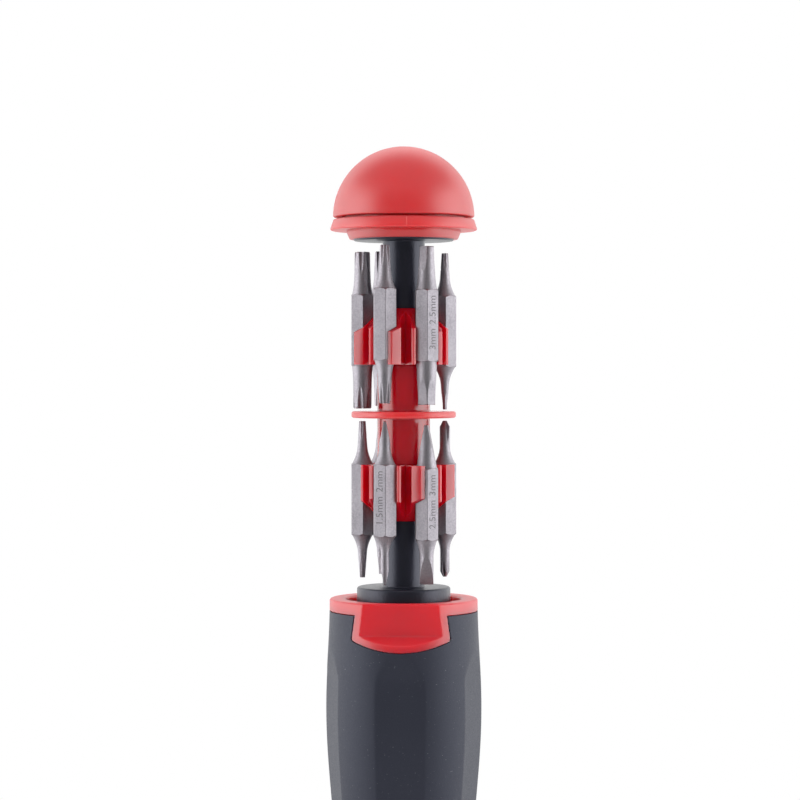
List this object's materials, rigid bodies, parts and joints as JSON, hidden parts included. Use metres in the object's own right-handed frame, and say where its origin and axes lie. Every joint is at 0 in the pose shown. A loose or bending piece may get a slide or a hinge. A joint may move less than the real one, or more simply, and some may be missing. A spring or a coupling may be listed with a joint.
{
  "type": "pocket screwdriver",
  "caption": "Pocket screwdriver whose spinning dome draws a magazine of double-ended hexagon bits out of a soft-grip handle, with a magnetic bit socket on its shaft.",
  "frame": {"origin": "on the axis at the flat nose of the handle, where the shaft leaves it", "axes": "+Z along the axis from the shaft towards the dome, -Y the front with the finger scoop, +X to the right seen from the front"},
  "size_m": [0.0284, 0.028, 0.2315],
  "materials": {
    "red_plastic": "moulded satin gloss",
    "grip_rubber": "soft matt",
    "black_plastic": "moulded satin",
    "bit_steel": "blasted satin",
    "shaft_steel": "plated",
    "magnet_plating": "plated",
    "screw_steel": "plated",
    "ring_rubber": "smooth"
  },
  "bodies": {
    "handle": {"handle_core": "red_plastic", "grip_sleeve": "grip_rubber", "driver_shaft": "shaft_steel", "socket_magnet": "magnet_plating"},
    "slider": {"piston_ring": "ring_rubber"},
    "magazine": {"magazine_stem": "black_plastic", "upper_bit_clip": "red_plastic", "spacer_ring": "red_plastic", "lower_bit_clip": "red_plastic", "piston": "black_plastic", "piston_screw": "screw_steel", "cap_base": "red_plastic", "stem_screw": "screw_steel"},
    "cap": {"dome_cap": "red_plastic"},
    "driver_bit": {"driver_bit": "bit_steel"},
    "bit_upper_1": {"bit_upper_1": "bit_steel"},
    "bit_upper_2": {"bit_upper_2": "bit_steel"},
    "bit_upper_3": {"bit_upper_3": "bit_steel"},
    "bit_upper_4": {"bit_upper_4": "bit_steel"},
    "bit_upper_5": {"bit_upper_5": "bit_steel"},
    "bit_upper_6": {"bit_upper_6": "bit_steel"},
    "bit_lower_1": {"bit_lower_1": "bit_steel"},
    "bit_lower_2": {"bit_lower_2": "bit_steel"},
    "bit_lower_3": {"bit_lower_3": "bit_steel"},
    "bit_lower_4": {"bit_lower_4": "bit_steel"},
    "bit_lower_5": {"bit_lower_5": "bit_steel"},
    "bit_lower_6": {"bit_lower_6": "bit_steel"}
  },
  "joints": [
    {"name": "magazine_slide", "type": "slide", "parent": "handle", "child": "slider", "axis": [0, 0, 1], "range_m": [-0.0667, 0]},
    {"name": "magazine_turn", "type": "hinge", "parent": "slider", "child": "magazine", "pos_m": [0, 0, 0.0881], "axis": [0, 0, 1], "continuous": true},
    {"name": "cap_spin", "type": "hinge", "parent": "magazine", "child": "cap", "pos_m": [0, 0, 0.1642], "axis": [0, 0, 1], "continuous": true},
    {"name": "driver_bit_pull", "type": "slide", "parent": "handle", "child": "driver_bit", "axis": [0, 0, -1], "range_m": [0, 0.016]},
    {"name": "bit_upper_1_slide", "type": "slide", "parent": "magazine", "child": "bit_upper_1", "axis": [-0.9135, 0.4067, 0], "range_m": [0, 0.012]},
    {"name": "bit_upper_2_slide", "type": "slide", "parent": "magazine", "child": "bit_upper_2", "axis": [-0.809, -0.5878, 0], "range_m": [0, 0.012]},
    {"name": "bit_upper_3_slide", "type": "slide", "parent": "magazine", "child": "bit_upper_3", "axis": [0.1045, -0.9945, 0], "range_m": [0, 0.012]},
    {"name": "bit_upper_4_slide", "type": "slide", "parent": "magazine", "child": "bit_upper_4", "axis": [0.9135, -0.4067, 0], "range_m": [0, 0.012]},
    {"name": "bit_upper_5_slide", "type": "slide", "parent": "magazine", "child": "bit_upper_5", "axis": [0.809, 0.5878, 0], "range_m": [0, 0.012]},
    {"name": "bit_upper_6_slide", "type": "slide", "parent": "magazine", "child": "bit_upper_6", "axis": [-0.1045, 0.9945, 0], "range_m": [0, 0.012]},
    {"name": "bit_lower_1_slide", "type": "slide", "parent": "magazine", "child": "bit_lower_1", "axis": [-0.809, -0.5878, 0], "range_m": [0, 0.012]},
    {"name": "bit_lower_2_slide", "type": "slide", "parent": "magazine", "child": "bit_lower_2", "axis": [0.1045, -0.9945, 0], "range_m": [0, 0.012]},
    {"name": "bit_lower_3_slide", "type": "slide", "parent": "magazine", "child": "bit_lower_3", "axis": [0.9135, -0.4067, 0], "range_m": [0, 0.012]},
    {"name": "bit_lower_4_slide", "type": "slide", "parent": "magazine", "child": "bit_lower_4", "axis": [0.809, 0.5878, 0], "range_m": [0, 0.012]},
    {"name": "bit_lower_5_slide", "type": "slide", "parent": "magazine", "child": "bit_lower_5", "axis": [-0.1045, 0.9945, 0], "range_m": [0, 0.012]},
    {"name": "bit_lower_6_slide", "type": "slide", "parent": "magazine", "child": "bit_lower_6", "axis": [-0.9135, 0.4067, 0], "range_m": [0, 0.012]}
  ]
}
